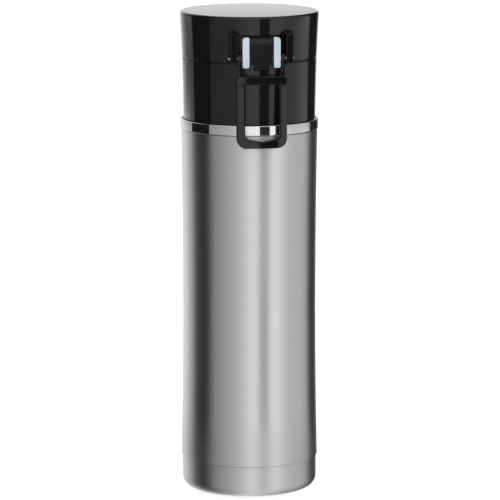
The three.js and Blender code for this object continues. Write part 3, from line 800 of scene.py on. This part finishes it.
def tube(name, points, radius, sides=12):
    """A round wire along points."""
    points = [Vector(p) for p in points]
    vertices, faces = [], []
    side = None
    for i, place in enumerate(points):
        ahead = points[min(i + 1, len(points) - 1)] - points[max(i - 1, 0)]
        ahead.normalize()
        if side is None:
            side = ahead.orthogonal().normalized()
        side = (side - ahead * side.dot(ahead)).normalized()
        other = ahead.cross(side)
        for k in range(sides):
            angle = 2 * math.pi * k / sides
            vertices.append(place + side * radius * math.cos(angle) + other * radius * math.sin(angle))
    for i in range(len(points) - 1):
        for k in range(sides):
            m = (k + 1) % sides
            a, b = i * sides, (i + 1) * sides
            faces.append([a + k, a + m, b + m, b + k])
    faces += [list(range(sides))[::-1], [len(points) * sides - sides + k for k in range(sides)]]
    return outside_out(new_object(name, vertices, faces))


def spring(name, node, body, axis, turns, wire):
    """A coil with a closed turn at each end, filling its node's box."""
    low, high = span(node)
    size, middle = high - low, (low + high) / 2
    length = size[axis] - 2 * wire
    radius = size.z / 2 - wire
    points = []
    steps = 28 * (turns + 2)
    dead = 1 / (turns + 2)
    edge = wire * 1.9  # the rise of a closed turn
    for i in range(steps + 1):
        t = i / steps
        angle = 2 * math.pi * (turns + 2) * t
        along = min(max((t - dead) / (1 - 2 * dead), 0), 1)
        rise = -length / 2 + (edge * min(t / dead, 1) + edge * max((t - 1 + dead) / dead, 0))
        rise += (length - 2 * edge) * along
        offset = Vector((0, radius * math.cos(angle), radius * math.sin(angle)))
        if axis == 1:
            offset = Vector((radius * math.cos(angle), 0, radius * math.sin(angle)))
        offset[axis] = rise
        points.append(middle + offset)
    return keep(tube(name, points, wire), body, "pin_steel", node)


# ---------------------------------------------------------------- flip cap

EAR = {"inner": 12.6, "outer": 16.3, "front": -37.4, "back": -30.6, "inner_top": 241.2, "outer_top": 243.0}
POCKET = {"floor": -29.3, "front": -31.5, "top": 241.15, "half": 10.35, "hub_half": 12.3, "hub_top": 232.4}
POCKET_WALL = 1.6


def ear():
    """A guard beside the latch, with a softened front edge."""
    outline = [
        (EAR["inner"], CAP_FOOT_Z),
        (EAR["outer"], CAP_FOOT_Z),
        (EAR["outer"], EAR["outer_top"]),
        (EAR["inner"], EAR["inner_top"]),
    ]
    return prism("ear", outline, "Y", EAR["front"], EAR["back"], 0.4, 3)


def pocket_housing(low):
    """The block inside the cap that the latch's pocket is cut into."""
    half = POCKET["hub_half"] + POCKET_WALL
    depth = (POCKET["front"], POCKET["floor"] + POCKET_WALL)
    return box("housing", (-half, half), depth, (low, POCKET["top"] + POCKET_WALL))


def flip_cap():
    low, edge_top = CAP_FOOT_Z, HEIGHT - CAP_DOME
    wall_thickness, ceiling = 1.9, edge_top - 2.9
    flat_radius = CAP_RADIUS - CAP_EDGE_RADIUS
    dome = [(flat_radius * s, HEIGHT - CAP_DOME * s * s, SMOOTH) for s in (0.8, 0.6, 0.4, 0.2)]
    outline = Outline([
        (0, ceiling),
        (lid_radius(ceiling) - wall_thickness, ceiling, 2.0),
        (lid_radius(low) - wall_thickness, low + LAP["height"] + GAP),
        (lid_radius(low) - LAP["cap"], low + LAP["height"] + GAP),
        (lid_radius(low) - LAP["cap"], low, 0.1),
        (lid_radius(low), low, 0.4),
        *wall(lid_radius, low, edge_top - CAP_EDGE_RADIUS, 12),
        (CAP_RADIUS, edge_top, CAP_EDGE_RADIUS),
        *dome,
        (0, HEIGHT),
    ], closed=False, arc_steps=8)
    piece = turned("gloss_flip_cap", outline)
    reach = KNUCKLE_RADIUS + GAP
    beside = (CAP_KNUCKLE[1] + GAP / 2, COLLAR_KNUCKLE[1] + GAP)
    middle = (GAP / 2 - CAP_KNUCKLE[0], CAP_KNUCKLE[0] - GAP / 2)
    cut(
        piece,
        *both_sides(rod("relief", reach, beside, HINGE.y, HINGE.z)),
        rod("spring_relief", reach, middle, HINGE.y, HINGE.z),
    )
    join(
        piece,
        pocket_housing(low),
        *both_sides(ear()),
        *both_sides(knuckle("cap_knuckle", CAP_KNUCKLE, SEAM_Z + WEB_REACH, CAP_WEB_Y, 1)),
    )
    depth, below = (FRONT, POCKET["floor"]), low - 5
    cut(
        piece,
        box("lever_pocket", (-POCKET["half"], POCKET["half"]), depth, (below, POCKET["top"])),
        box("hub_pocket", (-POCKET["hub_half"], POCKET["hub_half"]), depth, (below, POCKET["hub_top"])),
        latch_bore(),
        hinge_bore(),
    )
    return keep(shade(piece, outline), "cap", "gloss_black", "flip_cap")


def cap_disc():
    """The disc inside the cap that holds the seal."""
    radius, top = DISC_HIGH.x, DISC_HIGH.z
    outline = Outline([
        (0, DISC_LOW.z),
        (12, DISC_LOW.z, 0.4),
        (12.5, top - 2, 0.6),
        (26, top - 2, 0.3),
        (26.6, top - 2.5, 0.3),
        (radius, top - 2.5 + 0.5, 0.6),
        (radius, top, 0.2),
        (0, top),
    ], closed=False)
    piece = turned("cap_liner_disc", outline)
    return keep(shade(piece, outline), "cap", "inner_plastic", "cap_liner")


def cap_seal():
    face = SPOUT_HIGH.z + GAP
    radius = SEAL_HIGH.x
    outline = Outline([
        (0, SEAL_LOW.z),
        (8.4, SEAL_LOW.z, 0.8),
        (10.8, face, 0.6),
        (radius, face, 0.7),
        (radius, SEAL_HIGH.z, 0.7),
        (0, SEAL_HIGH.z),
    ], closed=False)
    return keep(shade(turned("silicone_cap_seal", outline, 128), outline), "cap", "silicone", "cap_seal")


# ---------------------------------------------------------------- push latch

LEVER = {
    "front": LEVER_LOW.y, "back": -32.3, "chamfer": 235.5, "bottom": 226.0, "half": 5.8,
    "hook_half": 3.2, "hook_z": 224.0,
}
COLLAR_CLEAR_Y = -35.15
SPRING_SEAT = {"z": 236.0, "radius": 3.0, "bottom": -34.6}


def latch_spring():
    """The spring behind the lever, given a mesh of its own."""
    piece = spring("latch_return_spring", "latch_spring", "cap", 1, 4, 0.25)
    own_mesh(piece)


def latch_lever():
    front, back, bottom, half = LEVER["front"], LEVER["back"], LEVER["bottom"], LEVER["half"]
    top = LEVER_HIGH.z
    side = [
        (front, bottom),
        (COLLAR_CLEAR_Y, bottom),
        (COLLAR_CLEAR_Y, bottom + 1.2),
        (back, bottom + 2),
        (back, top),
        (front + 1, top),
        (front, LEVER["chamfer"]),
    ]
    hook = [
        (front + 0.2, bottom + 0.5),
        (front + 0.2, LEVER["hook_z"]),
        (front + 0.6, LEVER_LOW.z),
        (COLLAR_CLEAR_Y, LEVER_LOW.z),
        (COLLAR_CLEAR_Y, bottom + 0.5),
    ]
    piece = prism("latch_push_lever", side, "X", -half, half, 0.22, 3)
    tongue = prism("tongue", hook, "X", -LEVER["hook_half"], LEVER["hook_half"], 0.1, 2)
    plate_y, plate_z = (BAR_HIGH.y + GAP, back), (bottom + 2, BAR_HIGH.z - 0.4)
    plate = box("plate", (-BAR_HIGH.x, BAR_HIGH.x), plate_y, plate_z, 0.15, 2)
    seat = rod("seat", SPRING_SEAT["radius"], (0, 10), 0, 0)
    turn = Matrix.Rotation(math.pi / 2, 4, "Z")
    seat.data.transform(Matrix.Translation((0, SPRING_SEAT["bottom"], SPRING_SEAT["z"])) @ turn)
    join(piece, tongue, plate)
    cut(piece, latch_bore(), seat)
    return keep(piece, "latch", "satin_black", "latch_lever")


def corner_arc(u, v, radius, start, end, steps=7):
    angles = [math.radians(start + (end - start) * k / steps) for k in range(steps + 1)]
    return [(u + radius * math.cos(a), v + radius * math.sin(a)) for a in angles]


def accent_bar():
    """A pale side bar with rounded corners and soft edges."""
    inset = 0.25
    inner, outer = BAR_LOW.x + inset, BAR_HIGH.x - inset
    bottom, top = BAR_LOW.z + inset, BAR_HIGH.z - 3 * inset
    small, large = 0.9, 1.7
    outline = [
        *corner_arc(inner + small, bottom + small, small, 180, 270),
        *corner_arc(outer - small, bottom + small, small, 270, 360),
        *corner_arc(outer - large, top - large, large, 0, 90),
        *corner_arc(inner + small / 2, top - small / 2, small / 2, 90, 180, 4),
    ]
    piece = prism("bar", outline, "Y", BAR_LOW.y, BAR_HIGH.y, 0.5, 4)
    collar_room = box("collar_room", (0, 20), (COLLAR_CLEAR_Y, 0), (bottom - 1, LEVER["bottom"] + 1.6))
    return cut(piece, collar_room, latch_bore())


def accent_bars():
    right = accent_bar()
    left = mirrored(right, "pale_bar_left")
    right.name = "pale_bar_right"
    keep(left, "latch", "pale_accent", "latch_accent_left")
    keep(right, "latch", "pale_accent", "latch_accent_right")


# ---------------------------------------------------------------- carry loop

LOOP = {
    "outer": 13.0, "inner": 9.0, "top": 220.4, "cross_bottom": 216.1, "bottom": 183.7,
    "inner_corner": 190.3, "vee_z": 188.5, "vee_half": 7.0, "vee_tip": 187.1,
    "thickness": 2.4, "plan_radius": 68.0, "middle_y": -36.2, "tilt": math.radians(2.4), "outer_corner": 5.0,
    "top_corner": 1.5, "edge": 0.45, "station": 1.4,
}
CROSS_PLAN_RADIUS = 400.0  # the cross bar is nearly straight in plan
CROSS_STEP = 0.5  # height over which the bowed arms meet it
# The legs run from the cross bar up to hubs on the latch pin, and each has a wider foot.
LEG = {
    "inner": 10.4, "outer": 11.9, "low": LOOP["top"] - 1, "back": -34.75,
    "front_low": -36.95, "front_high": -36.5,
    "foot_inner": 9.2, "foot_outer": 11.6, "foot_front": -36.75, "foot_top": 223.1,
}
LOOP_HUB_RADIUS = 2.5


def loop_place(x, depth, z):
    """A point of the flat loop, put on the bowed and leaning one. Depth runs back from the middle."""
    share = min(max((z - LOOP["cross_bottom"] + CROSS_STEP) / CROSS_STEP, 0), 1)
    share = share * share * (3 - 2 * share)
    curve = (1 - share) / LOOP["plan_radius"] + share / CROSS_PLAN_RADIUS
    bow = (1 - math.sqrt(max(1 - (x * curve) ** 2, 0))) / curve
    middle_z = (LOOP["top"] + LOOP["cross_bottom"]) / 2
    lean = math.tan(LOOP["tilt"]) * (z - middle_z)
    return (x, LOOP["middle_y"] + bow + depth + lean, z)


def straight(start, end, steps):
    """Points along a straight line, with both ends."""
    return [tuple(a + (b - a) * k / steps for a, b in zip(start, end)) for k in range(steps + 1)]


def loop_frame():
    """The loop's frame as pairs of points (x, z): one on its outer edge and one on its window's edge."""
    outer, inner, top, bottom = LOOP["outer"], LOOP["inner"], LOOP["top"], LOOP["bottom"]
    cross, large, small = LOOP["cross_bottom"], LOOP["outer_corner"], LOOP["top_corner"]
    vee = (LOOP["vee_half"], LOOP["vee_z"])
    low_corner = corner_arc(outer - large, bottom + large, large, 270, 360, 8)
    high_corner = corner_arc(outer - small, top - small, small, 0, 90, 4)
    right = [
        ((0, bottom), (0, LOOP["vee_tip"])),
        *zip(low_corner, straight(vee, (inner, LOOP["inner_corner"]), 8)),
        ((outer, cross - CROSS_STEP), (inner, cross - CROSS_STEP)),
        ((outer, cross), (inner, cross)),
        *zip(high_corner, straight((inner - 0.1, cross), (inner - small, cross), 4)),
        ((0, top), (0, cross)),
    ]
    fine = []
    for (outer_from, inner_from), (outer_to, inner_to) in zip(right, right[1:]):
        pieces = max(1, math.ceil(math.dist(outer_from, outer_to) / LOOP["station"]))
        outer_line = straight(outer_from, outer_to, pieces)
        inner_line = straight(inner_from, inner_to, pieces)
        fine += list(zip(outer_line, inner_line))[:-1]
    fine.append(right[-1])
    left = [((-a[0], a[1]), (-b[0], b[1])) for a, b in fine[1:-1]]
    return fine + left[::-1]


def loop_section(width):
    """The frame's rounded section, once round, as (distance from the outer edge, depth)."""
    half, edge, parts = LOOP["thickness"] / 2, LOOP["edge"], 5
    corner = [(edge * (1 - math.cos(a)), half - edge + edge * math.sin(a)) for a in (0, 0.5, 1, math.pi / 2)]
    flat = [(edge + (width - 2 * edge) * k / parts, half) for k in range(1, parts)]
    front = corner + flat + [(width - s, depth) for s, depth in corner[::-1]]
    return front + [(s, -depth) for s, depth in front[::-1]]


def loop_leg():
    side = [
        (LATCH.y - LOOP_HUB_RADIUS + 0.3, LATCH.z),
        (LEG["front_high"], LEG["foot_top"]),
        (LEG["front_low"], LEG["low"]),
        (LEG["back"], LEG["low"]),
        (LEG["back"], LEG["foot_top"]),
        (LATCH.y + LOOP_HUB_RADIUS - 1.7, LATCH.z - 2.4),
        (LATCH.y + LOOP_HUB_RADIUS - 0.6, LATCH.z),
    ]
    leg = prism("leg", side, "X", LEG["inner"], LEG["outer"], 0.2, 2)
    hub = rod("hub", LOOP_HUB_RADIUS, (LEG["inner"], LEG["outer"]), LATCH.y, LATCH.z, 48, 0.2)
    foot_x, foot_y = (LEG["foot_inner"], LEG["foot_outer"]), (LEG["foot_front"], LEG["back"])
    return join(leg, hub, box("foot", foot_x, foot_y, (LEG["low"], LEG["foot_top"]), 0.2, 2))


def carry_loop():
    vertices, faces = [], []
    stations = loop_frame()
    for outside, inside in stations:
        width = math.dist(outside, inside)
        for s, depth in loop_section(width):
            x, z = (a + (b - a) * s / width for a, b in zip(outside, inside))
            vertices.append(loop_place(x, depth, z))
    count = len(stations)
    ring = len(vertices) // count
    for i in range(count):
        j = (i + 1) % count
        for k in range(ring):
            m = (k + 1) % ring
            faces.append([i * ring + k, i * ring + m, j * ring + m, j * ring + k])
    piece = outside_out(new_object("carry_loop_frame", vertices, faces))
    join(piece, *both_sides(loop_leg()))
    cut(piece, latch_bore())
    return keep(piece, "loop", "gloss_black", "carry_loop")


# ---------------------------------------------------------------- the object


def paint_kept_nodes():
    """CAD nodes that stay as they are get their slot's material."""
    slots = {s["node"]: s["material_slot"] for s in frame["record"]["subparts"]}
    for name, node in frame["nodes"].items():
        if not node.material_slots:
            node.data.materials.append(None)
        for holder in node.material_slots:
            holder.link = "OBJECT"
            holder.material = MATERIALS[slots[name]]


paint_kept_nodes()
steel_body()
steel_base()
base_pad()
trim_ring()
lid_collar()
drinking_deck()
drinking_spout()
steel_pin("steel_hinge_pin", "hinge_pin", "lid_base")
spring("hinge_torsion_spring", "hinge_spring", "lid_base", 0, 5, 0.3)
flip_cap()
cap_disc()
cap_seal()
steel_pin("steel_latch_pin", "latch_pin", "cap", 0.65)
latch_spring()
latch_lever()
accent_bars()
carry_loop()

# ---------------------------------------------------------------- studio

CAMERA_AZIMUTH = math.radians(-10)
CAMERA_ELEVATION = math.radians(9.9)
CAMERA_DISTANCE = 1.78
CAMERA_TARGET = Vector((0, 0, 0.1245))
CAMERA_LENS = 245.7  # mm on a 36 mm sensor
CAMERA_SHIFT = (0.0014, 0.0016)

# The light tent's brightness round the object, as (degrees from the camera towards its right, brightness,
# brightness of the low strip). Two black flags stand at the sides, and a dark gap parts the front softboxes.
TENT = [
    (-180, 1.05, 1.3), (-167, 1.3, 1.5), (-157, 1.25, 1.5), (-144, 0.95, 1.75), (-134, 0.58, 1.5),
    (-126, 0.43, 1.2), (-119, 0.34, 0.85), (-111, 0.3, 0.65), (-110.5, 0.01, 0.01), (-70, 0.01, 0.01),
    (-69.5, 0.27, 0.27), (-50, 0.35, 0.36), (-32, 0.42, 0.41), (-16, 0.55, 0.55), (-7, 0.64, 0.62),
    (0, 0.88, 0.87), (17, 0.93, 0.9), (17.3, 0.012, 0.05), (34, 0.012, 0.05), (34.3, 0.97, 0.97),
    (52, 0.92, 0.9), (60, 0.65, 0.8), (74, 0.51, 0.7), (87, 0.5, 0.78), (99, 0.5, 1.0), (108, 0.48, 1.05),
    (115, 0.4, 1.05), (120, 0.26, 0.5), (122, 0.03, 0.03), (150, 0.02, 0.02), (158, 0.3, 0.3),
    (166, 0.85, 0.85), (172, 1.05, 1.05), (180, 1.05, 1.3),
]
GAP_FROM, GAP_TO = 17.2, 34.1
TENT_RADIUS = 3.0
# The tent's rows: height, how far the row belongs to the low strip that the flared lid reflects, and the
# least brightness of the front gap, which is lighter high up and low down.
TENT_ROWS = [
    (-15, 0, 0.6), (-1.1, 0, 0.6), (-1.0, 0, 0), (-0.5, 0, 0), (-0.46, 1, 0), (-0.24, 1, 0),
    (-0.218, 0, 0), (0.62, 0, 0), (0.72, 0, 0.6), (4.5, 0, 0.6),
]


def camera():
    lens = bpy.data.cameras.new("camera")
    lens.sensor_width = 36
    lens.lens = CAMERA_LENS
    lens.shift_x, lens.shift_y = CAMERA_SHIFT
    lens.clip_start, lens.clip_end = 0.05, 100
    back = Vector((
        math.sin(CAMERA_AZIMUTH) * math.cos(CAMERA_ELEVATION),
        -math.cos(CAMERA_AZIMUTH) * math.cos(CAMERA_ELEVATION),
        math.sin(CAMERA_ELEVATION),
    ))
    holder = bpy.data.objects.new("camera", lens)
    holder.location = CAMERA_TARGET + back * CAMERA_DISTANCE
    holder.rotation_mode = "QUATERNION"
    holder.rotation_quaternion = (-back).to_track_quat("-Z", "Y")
    bpy.context.scene.collection.objects.link(holder)
    bpy.context.scene.camera = holder


def emission(name, strength=1.0, attribute=None):
    material = bpy.data.materials.new(name)
    material.use_nodes = True
    tree = material.node_tree
    tree.nodes.clear()
    glow = tree.nodes.new("ShaderNodeEmission")
    glow.inputs["Strength"].default_value = strength
    if attribute:
        reader = tree.nodes.new("ShaderNodeAttribute")
        reader.attribute_name = attribute
        tree.links.new(reader.outputs["Fac"], glow.inputs["Strength"])
    output = tree.nodes.new("ShaderNodeOutputMaterial")
    tree.links.new(glow.outputs["Emission"], output.inputs["Surface"])
    material.cycles.emission_sampling = "NONE"
    return material


def light_tent():
    """A tall round screen that only reflections see."""
    angles, levels, low_levels = zip(*TENT)
    stops = sorted({*angles, *range(-180, 181, 3)})
    vertices, faces, values = [], [], []
    for degrees in stops:
        azimuth = CAMERA_AZIMUTH + math.radians(degrees)
        x, y = TENT_RADIUS * math.sin(azimuth), -TENT_RADIUS * math.cos(azimuth)
        level = float(np.interp(degrees, angles, levels))
        low_level = float(np.interp(degrees, angles, low_levels))
        for z, share, gap_level in TENT_ROWS:
            brightness = level + (low_level - level) * share
            if GAP_FROM < degrees < GAP_TO:
                brightness = max(brightness, gap_level)
            vertices.append((x, y, z))
            values.append(brightness)
    rows = len(TENT_ROWS)
    for i in range(len(stops) - 1):
        for k in range(rows - 1):
            corner = i * rows + k
            faces.append([corner, corner + rows, corner + rows + 1, corner + 1])
    tent = new_object("light_tent", vertices, faces)
    attribute = tent.data.attributes.new("brightness", "FLOAT", "POINT")
    attribute.data.foreach_set("value", values)
    tent.data.materials.append(emission("tent_light", attribute="brightness"))
    tent.visible_camera = False
    tent.visible_diffuse = False
    tent.visible_shadow = False


def floor():
    """A pale floor, lit almost evenly to white."""
    half = 12.0
    corners = [(-half, -half, 0), (half, -half, 0), (half, half, 0), (-half, half, 0)]
    plane = new_object("floor", corners, [[0, 1, 2, 3]])
    plane.location.z = -0.0002  # just under the pad
    finish = Finish("floor", Base_Color=(0.5, 0.5, 0.5, 1), Roughness=0.9, Emission_Strength=0.7)
    finish.shader.inputs["Emission Color"].default_value = (1, 1, 1, 1)
    finish.set("Roughness", finish.between(finish.noise(3.0), 0.85, 0.95))
    finish.material.cycles.emission_sampling = "NONE"
    plane.data.materials.append(finish.material)
    plane.visible_glossy = False


def sky():
    world = bpy.data.worlds.new("studio")
    bpy.context.scene.world = world
    world.use_nodes = True
    background = world.node_tree.nodes["Background"]
    background.inputs["Color"].default_value = (1, 1, 1, 1)
    background.inputs["Strength"].default_value = 1.0


camera()
light_tent()
floor()
sky()
bpy.context.scene.view_settings.view_transform = "Standard"
